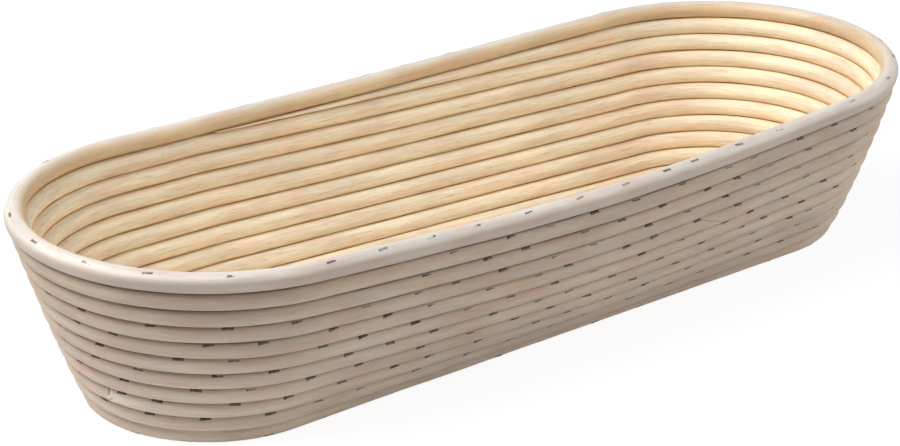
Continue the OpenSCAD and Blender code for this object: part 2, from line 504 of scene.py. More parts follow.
def point_mesh(name: str, points: np.ndarray, fields: dict[str, np.ndarray], joined: bool) -> bpy.types.Mesh:
    """Mesh of bare points, or of a line through them, with named attributes.

    Args:
        name: Name of the mesh.
        points: Places of the points.
        fields: Number or vector at each point, by attribute name.
        joined: Whether edges join each point to the next.

    Returns:
        The new mesh.
    """
    mesh = bpy.data.meshes.new(name)
    edges = [(i, i + 1) for i in range(len(points) - 1)] if joined else []
    mesh.from_pydata(points.tolist(), edges, [])
    for key, values in fields.items():
        kind, part = ("FLOAT_VECTOR", "vector") if values.ndim == 2 else ("FLOAT", "value")
        mesh.attributes.new(key, kind, "POINT").data.foreach_set(part, values.ravel())
    return mesh


# Finishes


def new_material(name: str) -> tuple[bpy.types.Material, TreeMaker, bpy.types.Node]:
    """A node material with its maker and its Principled shader."""
    material = bpy.data.materials.new(name)
    material.use_nodes = True
    return material, TreeMaker(material.node_tree), material.node_tree.nodes["Principled BSDF"]


@dataclass(frozen=True)
class Pattern:
    """Noise drawn out along the cane, in times a fibre's width and length, and the range that shows."""

    width: float
    run: float
    detail: float
    limits: Limits = (0.0, 1.0)
    roughness: float = 0.5
    shift: Spot = (0.0, 0.0, 0.0)


class CaneGrain(NodeGroup):
    """Shader node group for the fibres, tone and flecks of peeled cane, and for the masks where light and
    shade are painted: the inside, the top and the crevices between turns.

    It reads the point on the straightened cane: length, then across in line with the rows,
    then across from the inside of the basket to the outside.
    """

    INPUTS = {
        "Grain": VECTOR,
        "Seams": VECTOR,
        "Fibre Width": NUMBER,
        "Fibre Length": NUMBER,
        "Cane Radius": NUMBER,
    }
    OUTPUTS = ("Fibre", "Streak", "Tone", "Blush", "Fleck", "Seam", "Inside", "Top Highlight", "Height")
    FIBRE = Pattern(width=1.0, run=0.35, detail=3.0, roughness=0.6)
    RAGGED = Pattern(width=6.0, run=0.25, detail=2.0)
    PATCHES = {
        "Streak": Pattern(width=3.5, run=0.9, detail=3.0, limits=(0.35, 0.7)),
        "Tone": Pattern(width=16.0, run=1.3, detail=2.0, limits=(0.32, 0.68)),
        "Blush": Pattern(width=12.0, run=0.8, detail=2.0, limits=(0.42, 0.68), shift=(7.3, 1.9, 4.1)),
        "Fleck": Pattern(width=0.9, run=0.12, detail=1.0, limits=(0.66, 0.78)),
    }
    # The inside and the outside of the cane get different colours: painted shade outside, painted bounce
    # light inside.
    INSIDE = (0.35, -0.35)
    # The top of the cane, where a painted highlight goes.
    TOP_HIGHLIGHT = (0.35, 0.95)
    # Crevices between turns, darkened with painted shade and some dust.
    OUTER_SEAM = (0.87, 0.99)
    INNER_SEAM = (0.87, 0.95)
    SEAM_RAGGED = 0.14
    FLECK_DEPTH = 0.6

    def __init__(self) -> None:
        """Builds the group once."""
        super().__init__("Cane grain", "ShaderNodeTree", self.INPUTS, dict.fromkeys(self.OUTPUTS, NUMBER))
        self.length, self.row, self.out = self.split(self.given["Grain"])
        self.widthwise = self.math("DIVIDE", 1.0, self.given["Fibre Width"])
        self.lengthwise = self.math("DIVIDE", 1.0, self.given["Fibre Length"])
        self._build()

    def _drawn(self, pattern: Pattern) -> Socket:
        """Noise of a pattern."""
        thin = self.math("DIVIDE", self.widthwise, pattern.width)
        long = self.math("DIVIDE", self.lengthwise, pattern.run)
        sides = [self.times(side, thin) for side in (self.row, self.out)]
        point = self.join(self.times(self.length, long), *sides)
        return self.noise(self.vector("ADD", point, pattern.shift), pattern.detail, pattern.roughness)

    def _build(self) -> None:
        """Adds the nodes."""
        radius = self.given["Cane Radius"]
        masks = {key: self.ramp(self._drawn(patch), patch.limits) for key, patch in self.PATCHES.items()}
        fibre = self._drawn(self.FIBRE)
        # Inner side of the cane, which gets painted bounce light; the outer side gets painted shade.
        inside = self.ramp(self.math("DIVIDE", self.out, radius), self.INSIDE)
        # Top of the cane, for a painted highlight.
        top_highlight = self.ramp(self.math("DIVIDE", self.row, radius), self.TOP_HIGHLIGHT)
        above, below, _ = self.split(self.given["Seams"])
        ragged = self.minus(self._drawn(self.RAGGED), 0.5)
        nearest = self.math("MULTIPLY_ADD", ragged, self.SEAM_RAGGED, self.math("MAXIMUM", above, below))
        # Crevices between turns, for painted shade with some dust.
        outer = self.ramp(nearest, self.OUTER_SEAM)
        inner = self.ramp(nearest, self.INNER_SEAM)
        seam_shade_and_dust = self.math("MULTIPLY_ADD", inside, self.minus(inner, outer), outer)
        height = self.minus(fibre, self.times(masks["Fleck"], self.FLECK_DEPTH))
        made = {"Fibre": fibre, "Seam": seam_shade_and_dust, "Inside": inside, "Top Highlight": top_highlight, "Height": height}
        self.feed(self.end, {**masks, **made})


@dataclass(frozen=True)
class CaneFinish:
    """Bare peeled cane, matt, with fine lengthwise grain, and with painted light and shade in its colour."""

    name: str
    # Colours of the outside and the inside: painted shade outside, painted warm bounce light inside.
    pale: Colour
    bounce_lit_inside: Colour
    fibre_brown: Colour
    # Crevice colours outside and inside, and their share: painted shade with some dust.
    outer_seam_shade_and_dust: Colour
    inner_seam_shade_and_dust: Colour
    seam_shade_and_dust: float
    roughness: float
    specular: float
    # Outside colour at the foot, fading out by height: painted light bounced from the floor.
    painted_bounce_foot: Colour | None = None
    # Colour and share of a painted highlight on the top of the cane.
    top_highlight: Colour | None = None
    top_highlight_share: float = 0.9
    grey_tint: Colour = (0.87, 0.855, 0.88)
    pink_tint: Colour = (1.0, 0.89, 0.87)
    frayed: Colour = (0.72, 0.66, 0.575)
    fray_limits: Limits = (0.0, 1.4)
    fray_fibres: Limits = (0.3, 0.6)
    fibre_width: float = 0.35 * MM
    fibre_length: float = 26 * MM
    fibre_limits: Limits = (0.5, 0.75)
    fibre_share: float = 0.4
    streak_share: float = 0.15
    fleck_share: float = 0.35
    rough_swing: float = 0.2
    bump: float = 0.25
    bump_depth: float = 0.15 * MM

    def build(self, grain: CaneGrain, radius: float) -> bpy.types.Material:
        """Makes the material.

        Args:
            grain: Shared grain group.
            radius: Radius of the cane.

        Returns:
            The material.
        """
        material, make, shader = new_material(self.name)
        feeds = {
            "Grain": make.attribute("grain", "Vector"),
            "Seams": make.attribute("seams", "Vector"),
            "Fibre Width": self.fibre_width,
            "Fibre Length": self.fibre_length,
            "Cane Radius": radius,
        }
        mask = make.node("ShaderNodeGroup", feeds, node_tree=grain.tree).outputs
        # Outside colour: painted shade, lifted towards the foot with painted light bounced from the floor.
        outside = self.pale
        if self.painted_bounce_foot:
            outside = make.mix(make.attribute("painted_bounce_rise"), self.painted_bounce_foot, self.pale)
        # The inside gets painted warm bounce light.
        body = make.mix(mask["Inside"], outside, self.bounce_lit_inside)
        # Painted highlight along the top of the cane.
        if self.top_highlight:
            body = make.mix(make.times(mask["Top Highlight"], self.top_highlight_share), body, self.top_highlight)
        body = make.mix(mask["Tone"], body, self.grey_tint, "MULTIPLY")
        body = make.mix(mask["Blush"], body, self.pink_tint, "MULTIPLY")
        lines = make.times(make.ramp(mask["Fibre"], self.fibre_limits), self.fibre_share)
        lines = make.math("MULTIPLY_ADD", mask["Streak"], self.streak_share, lines)
        lines = make.math("MULTIPLY_ADD", mask["Fleck"], self.fleck_share, lines, clamp=True)
        body = make.mix(lines, body, self.fibre_brown)
        # Painted shade, with some dust, in the crevices between turns.
        dark = make.mix(mask["Inside"], self.outer_seam_shade_and_dust, self.inner_seam_shade_and_dust)
        body = make.mix(make.times(mask["Seam"], self.seam_shade_and_dust), body, dark)
        worn = make.ramp(make.attribute("fray"), self.fray_limits)
        patchy = make.times(worn, make.ramp(mask["Fibre"], self.fray_fibres))
        body = make.mix(patchy, body, self.frayed)
        smoothest = self.roughness - self.rough_swing / 2
        rough = make.math("MULTIPLY_ADD", mask["Fibre"], self.rough_swing, smoothest)
        feeds = {"Strength": self.bump, "Distance": self.bump_depth, "Height": mask["Height"]}
        bump = make.node("ShaderNodeBump", feeds).outputs["Normal"]
        make.feed(shader, {"Base Color": body, "Roughness": rough, "Normal": bump})
        shader.inputs["Specular IOR Level"].default_value = self.specular
        return material


@dataclass(frozen=True)
class SteelFinish:
    """Dull staple wire, browned in places, and darker with tarnish and painted shade where it sits in the
    crevices.
    """

    name: str
    bright: Colour
    # Colour of tarnish and painted shade.
    tarnish_and_shade_colour: Colour
    roughness: float
    spots_per_metre: float = 900.0
    spot_detail: float = 3.0
    spot_limits: Limits = (0.35, 0.65)
    spot_share: float = 0.25
    spot_roughness: float = 0.25
    tarnish_and_shade_share: float = 0.8
    metal: float = 0.95
    metal_loss: float = 0.9

    def build(self) -> bpy.types.Material:
        """Makes the material."""
        material, make, shader = new_material(self.name)
        place = make.node("ShaderNodeTexCoord").outputs["Object"]
        spots = make.noise(make.scale(place, self.spots_per_metre), self.spot_detail)
        spots = make.ramp(spots, self.spot_limits)
        # Tarnish and painted shade for each staple; the wire loses its metal look with it.
        tarnish_and_shade_level = make.times(make.attribute("tarnish_and_shade"), self.tarnish_and_shade_share)
        share = make.math("MULTIPLY_ADD", spots, self.spot_share, tarnish_and_shade_level, clamp=True)
        feeds = {
            "Base Color": make.mix(share, self.bright, self.tarnish_and_shade_colour),
            "Roughness": make.math("MULTIPLY_ADD", spots, self.spot_roughness, self.roughness),
            "Metallic": make.math("MULTIPLY_ADD", share, -self.metal_loss, self.metal),
        }
        make.feed(shader, feeds)
        return material


WALL_CANE = CaneFinish(
    name="peeled_cane",
    # Paler foot: painted light bounced from the floor.
    painted_bounce_foot=(0.605, 0.52, 0.416),
    # Darker outside: painted shade; brighter inside: painted bounce light.
    pale=(0.45, 0.378, 0.296),
    bounce_lit_inside=(0.935, 0.83, 0.61),
    fibre_brown=(0.36, 0.235, 0.15),
    # Crevice colours: painted shade with some dust.
    outer_seam_shade_and_dust=(0.06, 0.032, 0.016),
    inner_seam_shade_and_dust=(0.70, 0.44, 0.185),
    seam_shade_and_dust=0.9,
    roughness=0.6,
    specular=0.22,
)
HOOP_CANE = CaneFinish(
    name="peeled_hoop_cane",
    # Darker outside: painted shade; brighter inside: painted bounce light.
    pale=(0.44, 0.38, 0.31),
    bounce_lit_inside=(0.715, 0.56, 0.345),
    fibre_brown=(0.42, 0.30, 0.21),
    # Crevice colours: painted shade with some dust.
    outer_seam_shade_and_dust=(0.12, 0.07, 0.035),
    inner_seam_shade_and_dust=(0.22, 0.12, 0.05),
    seam_shade_and_dust=0.65,
    roughness=0.45,
    specular=0.55,
    # Painted highlight on the top of the hoop.
    top_highlight=(0.69, 0.66, 0.595),
)
STAPLE_STEEL = SteelFinish(
    name="dull_steel",
    bright=(0.42, 0.36, 0.29),
    # Tarnish and painted shade.
    tarnish_and_shade_colour=(0.05, 0.028, 0.015),
    roughness=0.4,
)


# Canes


@dataclass(frozen=True)
class Cut:
    """A cut end of a cane: its place in rings, its slant's length and the length that is frayed."""

    place: float
    slant: float = 0.0
    fray: float = 0.0


@dataclass
class Cane:
    """One length of cane, swept along the coil or round the rim."""

    name: str
    node: str
    slot: Slot
    start: Cut
    end: Cut
    winding: Winding
    level_row: float | None = None
    spacing: float = 3.2 * MM
    press: float = 0.12 * MM
    end_steps: tuple[float, ...] = (0.15 * MM, 0.4 * MM, 1.2 * MM)
    end_clear: float = 2 * MM
    least_slant: float = 1 * MM
    rounded_at: tuple[float, ...] = (0.0, 0.15 * MM, 0.4 * MM)
    rounded_to: tuple[float, ...] = (0.97, 0.99, 1.0)

    def places(self) -> np.ndarray:
        """Places of the rings, closer together at the cut ends."""
        spots = [np.array([self.start.place])]
        for first in np.arange(math.floor(self.start.place), math.ceil(self.end.place)):
            row = self.level_row
            if row is None:
                row = float(first // self.winding.loop_rings)
            count = max(2, round(self.winding.ring_length(float(first), row) / self.spacing))
            spots.append(first + np.arange(count) / count)
        n = np.concatenate(spots + [np.array([self.end.place])])
        n = np.unique(n[(n >= self.start.place) & (n <= self.end.place)])
        length = self.length(n)
        near = np.array(self.end_steps)
        ends = np.concatenate([length[0] + near, length[-1] - near])
        clear = (length - length[0] > self.end_clear) & (length[-1] - length > self.end_clear)
        kept = np.concatenate([n[[0]], n[clear], n[[-1]], np.interp(ends, length, n)])
        return np.unique(kept)

    def rows(self, n: np.ndarray) -> tuple[np.ndarray, np.ndarray]:
        """Row of each ring, and the cane's height there, less where it is shaved.

        Args:
            n: Places of the rings.

        Returns:
            Rows and heights.
        """
        w = self.winding
        full = np.full_like(n, w.pitch + self.press)
        if self.level_row is not None:
            return np.full_like(n, self.level_row), full
        loop, climb = w.loop_of(n), w.climb(n)
        row = np.where(climb < 1, loop - 1 + climb, loop)
        starting = (loop == w.first_loop) & (climb < 1)
        ending = (loop == w.wall_rows) & (climb < 1)
        row = np.where(starting, loop - 0.5 + climb / 2, row)
        row = np.where(ending, loop - 1 + climb / 2, row)
        height = np.where(starting, climb * w.pitch + self.press, full)
        height = np.where(ending, (1 - climb) * w.pitch + self.press, height)
        return row, height

    def length(self, n: np.ndarray) -> np.ndarray:
        """Length of cane up to each ring."""
        points = self.winding.spot(self.rows(n)[0], n)
        steps = np.linalg.norm(np.diff(points, axis=0), axis=1)
        return np.concatenate([[0.0], np.cumsum(steps)])

    def path(self) -> bpy.types.Mesh:
        """Line of rings, with the frame and the size of the section at each.

        Returns:
            A mesh for the sweep.
        """
        w = self.winding
        n = self.places()
        row, height = self.rows(n)
        turn = w.upright(row, n)
        length = self.length(n)
        slant, fray, rounding = np.zeros_like(n), np.zeros_like(n), np.ones_like(n)
        for cut, past in ((self.start, length), (self.end, length[-1] - length)):
            taper = max(cut.slant, self.least_slant)
            slant = slant + cut.slant * np.clip(1 - past / taper, 0, 1)
            if cut.fray > 0:
                fray = fray + np.clip(1 - past / cut.fray, 0, 1)
            rounding = rounding * np.interp(past, self.rounded_at, self.rounded_to)
        covered = 0.0 if self.level_row is not None else 1.0
        fields = {
            "way_centre": w.spot(row, n),
            "way_stack": w.across(n, turn),
            "way_beside": w.across(n, turn - math.pi / 2),
            "way_above": covered * w.across(n, w.angle_between(row, row + 1, n)),
            "way_below": -w.across(n, w.angle_between(row - 1, row, n)),
            "way_forward": w.forward(n),
            "way_height": height * rounding,
            "way_round": rounding,
            "way_slant": slant,
            "way_along": w.along(n, self.level_row),
            "way_foot": np.clip(1 - row, 0, 1),
            "fray": fray,
            # Height share for the painted floor bounce light on the outside.
            "painted_bounce_rise": np.clip(row / w.wall_rows, 0, 1),
        }
        return point_mesh(self.name, fields["way_centre"], fields, joined=True)


class CaneSway(NodeGroup):
    """Geometry node group for the slight waves of a cane, shared by canes and staples."""

    INPUTS = ("Along", "Waviness", "Wave Length", "Swell", "Seed")
    OUTPUTS = ("Row Sway", "Out Sway", "Fullness")
    DETAIL = 2.0

    def __init__(self) -> None:
        """Builds the group once."""
        inputs, outputs = (dict.fromkeys(keys, NUMBER) for keys in (self.INPUTS, self.OUTPUTS))
        super().__init__("Cane sway", "GeometryNodeTree", inputs, outputs)
        give = self.given
        spot = self.math("ADD", self.math("DIVIDE", give["Along"], give["Wave Length"]), give["Seed"])
        feeds = {"W": spot, "Scale": 1.0, "Detail": self.DETAIL}
        wave = self.node("ShaderNodeTexNoise", feeds, noise_dimensions="1D").outputs["Color"]
        row, out, fuller = self.split(self.vector("SUBTRACT", wave, (0.5, 0.5, 0.5)))
        made = {
            "Row Sway": self.times(row, give["Waviness"]),
            "Out Sway": self.times(out, give["Waviness"]),
            "Fullness": self.math("MULTIPLY_ADD", fuller, give["Swell"], 1.0),
        }
        self.feed(self.end, made)


@dataclass(frozen=True)
class Handwork:
    """How uneven the cane is."""

    waviness: float = 0.4 * MM
    wave_length: float = 55 * MM
    swell: float = 0.05
    seed: float = 3.0

    SOCKETS = dict.fromkeys(CaneSway.INPUTS[1:], NUMBER)

    def values(self) -> dict[str, float]:
        """Values for the inputs of a tree that uses the sway."""
        return dict(zip(self.SOCKETS, (self.waviness, self.wave_length, self.swell, self.seed)))


def add_sway(tree: GeometryTree, sway: CaneSway, along: Socket) -> bpy.types.NodeOutputs:
    """Adds the sway group to a tree and feeds it from the tree's inputs.

    Args:
        tree: Tree with the inputs that the sway needs.
        sway: The shared group.
        along: Length along the cane.

    Returns:
        The outputs of the group.
    """
    feeds = {"Along": along, **{key: tree.given[key] for key in Handwork.SOCKETS}}
    return tree.node("GeometryNodeGroup", feeds, node_tree=sway.tree).outputs


class CaneSweep(GeometryTree):
    """Geometry nodes that sweep a round section along a path of rings."""

    def __init__(self, sway: CaneSway) -> None:
        """Builds the tree."""
        own = {"Sides": WHOLE, "Diameter": NUMBER, "Foot Squash": NUMBER}
        super().__init__("Cane sweep", {**own, **Handwork.SOCKETS})
        self._build(sway)

    def _skin(self) -> Socket:
        """Tube through the rings, with the round section's corner kept on it."""
        line = self.shape("GeometryNodeMeshToCurve", {"Mesh": self.given["Geometry"]})
        feeds = {"Resolution": self.given["Sides"], "Radius": 1.0}
        circle = self.shape("GeometryNodeCurvePrimitiveCircle", feeds, mode="RADIUS")
        corner = self.node("GeometryNodeInputPosition").outputs[0]
        section = self.store(circle, "way_corner", corner, data_type="FLOAT_VECTOR")
        feeds = {"Curve": line, "Profile Curve": section, "Fill Caps": True}
        return self.shape("GeometryNodeCurveToMesh", feeds)

    def _on_floor(self, place: Socket) -> Socket:
        """Place of a section's corner, flattened below where the row is near the foot."""
        x, y, z = self.split(place)
        squash = self.times(self.number("way_foot"), self.given["Foot Squash"])
        lower = self.times(self.math("MINIMUM", z, 0.0), squash)
        place = self.vector("ADD", self.named("way_centre"), self.join(x, y, self.minus(z, lower)))
        x, y, z = self.split(place)
        return self.join(x, y, self.math("MAXIMUM", z, 0.0))

    def _build(self, sway: CaneSway) -> None:
        """Adds the nodes."""
        skin = self._skin()
        row_side, out_side, _ = self.split(self.named("way_corner"))
        stack, beside = self.named("way_stack"), self.named("way_beside")
        along = self.number("way_along")
        uneven = add_sway(self, sway, along)

        half_height = self.times(self.number("way_height"), 0.5)
        half_width = self.times(self.times(self.given["Diameter"], 0.5), self.number("way_round"))
        half_slant = self.times(self.number("way_slant"), 0.5)
        row_part = self.times(half_height, row_side)
        out_part = self.times(self.times(half_width, out_side), uneven["Fullness"])
        back_part = self.times(half_slant, row_side)

        place = self.scale(stack, self.math("ADD", row_part, uneven["Row Sway"]))
        across = self.scale(beside, self.math("ADD", out_part, uneven["Out Sway"]))
        place = self.vector("ADD", place, across)
        place = self.vector("SUBTRACT", place, self.scale(self.named("way_forward"), back_part))
        feeds = {"Geometry": skin, "Position": self._on_floor(place)}
        moved = self.shape("GeometryNodeSetPosition", feeds)

        grain = self.join(self.minus(along, back_part), row_part, out_part)
        facing = self.vector("ADD", self.scale(stack, row_side), self.scale(beside, out_side))
        sides = [self.named(key) for key in ("way_above", "way_below")]
        seams = self.join(*(self.vector("DOT_PRODUCT", facing, side, result="Value") for side in sides), 0.0)
        kept = self.store(moved, "grain", grain, data_type="FLOAT_VECTOR")
        kept = self.store(kept, "seams", seams, data_type="FLOAT_VECTOR")
        feeds = {"Geometry": kept, "Name": "way_*"}
        bare = self.shape("GeometryNodeRemoveAttribute", feeds, pattern_mode="WILDCARD")
        self.finish(self.shape("GeometryNodeSetShadeSmooth", {"Geometry": bare}, domain="FACE"))


@dataclass
class Coil:
    """The canes of the base and the wall, and the rim hoop on top of them."""

    winding: Winding
    tip: float = 0.25 * MM
    base_splice_angle: float = 70.0
    base_scarf: float = 8 * MM
    lower_splice_rows: int = 2
    lower_splice_angle: float = 195.0
    lower_scarf: float = 2.5 * MM
    lower_fray: float = 20 * MM
    upper_splice_rows: int = 6
    upper_splice_x: float = 53 * MM
    upper_scarf: float = 20 * MM
    rim_splice_angle: float = 11.0
    rim_scarf: float = 12 * MM
    splice_gap: float = 0.12 * MM
    lower_gap: float = 0.5 * MM
    rim_gap: float = 0.03 * MM
    pressed: float = 0.1 * MM
    sides: int = 22
    foot_squash: float = 0.19
    handwork: Handwork = Handwork()

    @property
    def diameter(self) -> float:
        """Diameter of the cane that shows: the turns touch."""
        return self.winding.pitch + self.pressed

    def _half_gap(self, place: float, row: float, scarf: float, gap: float) -> float:
        """Half of a splice's opening along the run, in rings.

        Args:
            place: Place of the splice, in rings.
            row: Row of the splice.
            scarf: Length of the slant.
            gap: Opening between the two cut faces.

        Returns:
            The share of a ring.
        """
        slope = math.hypot(1.0, scarf / self.winding.cane_d)
        return gap / 2 * slope / self.winding.ring_length(place, row)

    def lower_splice(self) -> float:
        """Place of the open splice at the left end, in rings."""
        return self.lower_splice_rows * self.winding.loop_rings + self.winding.around(self.lower_splice_angle)

    def canes(self) -> list[Cane]:
        """The five lengths of cane, from the base up."""
        w = self.winding
        loop = w.loop_rings
        tip = w.climb_rings * self.tip / w.pitch
        start = w.first_loop * loop + tip
        end = w.wall_rows * loop + w.climb_rings - tip
        base = w.around(self.base_splice_angle)
        lower = self.lower_splice()
        front, front_rings = w.stretch(Stretch.FRONT)
        along_front = (self.upper_splice_x + w.base_run / 2) / w.base_run
        upper = self.upper_splice_rows * loop + front + front_rings * along_front
        rim = w.around(self.rim_splice_angle)
        base_gap = self._half_gap(base, 0, self.base_scarf, self.splice_gap)
        lower_gap = self._half_gap(lower, self.lower_splice_rows, self.lower_scarf, self.lower_gap)
        upper_gap = self._half_gap(upper, self.upper_splice_rows, self.upper_scarf, self.splice_gap)
        rim_gap = self._half_gap(rim, w.wall_rows, self.rim_scarf, self.rim_gap)
        base_cuts = Cut(start), Cut(base - base_gap, self.base_scarf)
        lower_cuts = Cut(base + base_gap, self.base_scarf), Cut(lower - lower_gap, self.lower_scarf)
        frayed_cut = Cut(lower + lower_gap, self.lower_scarf, self.lower_fray)
        middle_cuts = frayed_cut, Cut(upper - upper_gap, self.upper_scarf)
        top_cuts = Cut(upper + upper_gap, self.upper_scarf), Cut(end)
        hoop_cuts = Cut(rim + rim_gap, self.rim_scarf), Cut(rim + loop - rim_gap, self.rim_scarf)
        return [
            Cane("cane_base", "base_cane", Slot.CANE, *base_cuts, w),
            Cane("cane_lower", "lower_cane", Slot.CANE, *lower_cuts, w),
            Cane("cane_middle", "middle_cane", Slot.CANE, *middle_cuts, w),
            Cane("cane_top", "top_cane", Slot.CANE, *top_cuts, w),
            Cane("hoop_rim", "rim_hoop", Slot.RIM, *hoop_cuts, w, float(w.wall_rows)),
        ]

    def build(self, finishes: dict[Slot, bpy.types.Material], sway: CaneSway) -> list[bpy.types.Object]:
        """Sweeps every cane.

        Args:
            finishes: Material by slot.
            sway: Shared group for the waves of the cane.

        Returns:
            The pieces.
        """
        sweep = CaneSweep(sway)
        pieces = []
        for cane in self.canes():
            values = {
                "Sides": self.sides,
                "Diameter": self.diameter,
                "Foot Squash": self.foot_squash,
                **self.handwork.values(),
                "Material": finishes[cane.slot],
            }
            piece = sweep.grow(cane.name, cane.path(), values)
            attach(piece, BODY)
            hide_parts(cane.node)
            pieces.append(piece)
        return pieces


# Splinters


class SplinterTuft(GeometryTree):
    """Geometry nodes that set a thin pointed splinter at every point."""

    SIDES = 5

    def __init__(self) -> None:
        """Builds the tree."""
        sockets = {"Length": NUMBER, "Thickness": NUMBER, "Shortest": NUMBER, "Group": WHOLE}
        super().__init__("Splinter tuft", sockets)
        give = self.given
        foot = self.times(give["Thickness"], 0.5)
        feeds = {"Vertices": self.SIDES, "Radius Bottom": foot, "Depth": give["Length"]}
        cone = self.shape("GeometryNodeMeshCone", feeds, fill_type="NGON")
        feeds = {
            "Points": give["Geometry"],
            "Instance": cone,
            "Rotation": self.turn("way_axis", "way_out"),
            "Scale": self.join(1.0, 1.0, self.random(give["Shortest"], 1.0, give["Group"])),
        }
        self.finish(self.shape("GeometryNodeInstanceOnPoints", feeds))


@dataclass
class Splinters:
    """Broken fibres that stand off the cane beside the open splice."""

    winding: Winding
    place: float
    row: int
    cane_d: float
    count: int = 9
    length: float = 2.4 * MM
    thick: float = 0.5 * MM
    shortest: float = 0.4
    buried: float = 0.25
    reach: float = 1.6 * MM
    spread: Limits = (-0.5, 1.0)
    around: Limits = (-25.0, 60.0)
    lift: float = 32.0
    lift_share: Limits = (0.3, 1.0)
    swing: Limits = (-0.6, 0.6)
    back_every: int = 3
    fray: float = 1.4
    seed: int = 8

    def points(self) -> bpy.types.Mesh:
        """Bare points on the cane, with the splinters' directions.

        Returns:
            A mesh for the tuft.
        """
        w = self.winding
        chance = np.random.default_rng(self.seed)
        ring = w.ring_length(self.place, float(self.row))
        n = self.place + chance.uniform(*self.spread, self.count) * self.reach / ring
        row = np.full_like(n, float(self.row))
        round_cane = np.radians(chance.uniform(*self.around, self.count))
        out = w.across(n, w.upright(row, n) - math.pi / 2 + round_cane)
        run = w.forward(n)
        side = np.cross(out, run)
        lift = np.radians(chance.uniform(*self.lift_share, self.count) * self.lift)[:, None]
        swing = chance.uniform(*self.swing, self.count)[:, None]
        back = np.where(np.arange(self.count) % self.back_every == 0, -1.0, 1.0)[:, None]
        axis = np.cos(lift) * (back * run + swing * side) + np.sin(lift) * out
        fields = {
            "way_axis": axis / np.linalg.norm(axis, axis=1)[:, None],
            "way_out": out,
            "fray": np.full_like(n, self.fray),
        }
        seat = w.spot(row, n) + out * (self.cane_d / 2 - self.thick * self.buried)
        return point_mesh("splinters", seat, fields, joined=False)

    def build(self, finish: bpy.types.Material) -> bpy.types.Object:
        """Sets the splinters.

        Args:
            finish: Material of the cane.

        Returns:
            The piece.
        """
        values = {
            "Length": self.length,
            "Thickness": self.thick,
            "Shortest": self.shortest,
            "Group": self.seed,
            "Material": finish,
        }
        piece = SplinterTuft().grow("splinters_lower", self.points(), values)
        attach(piece, BODY)
        return piece


# Staples


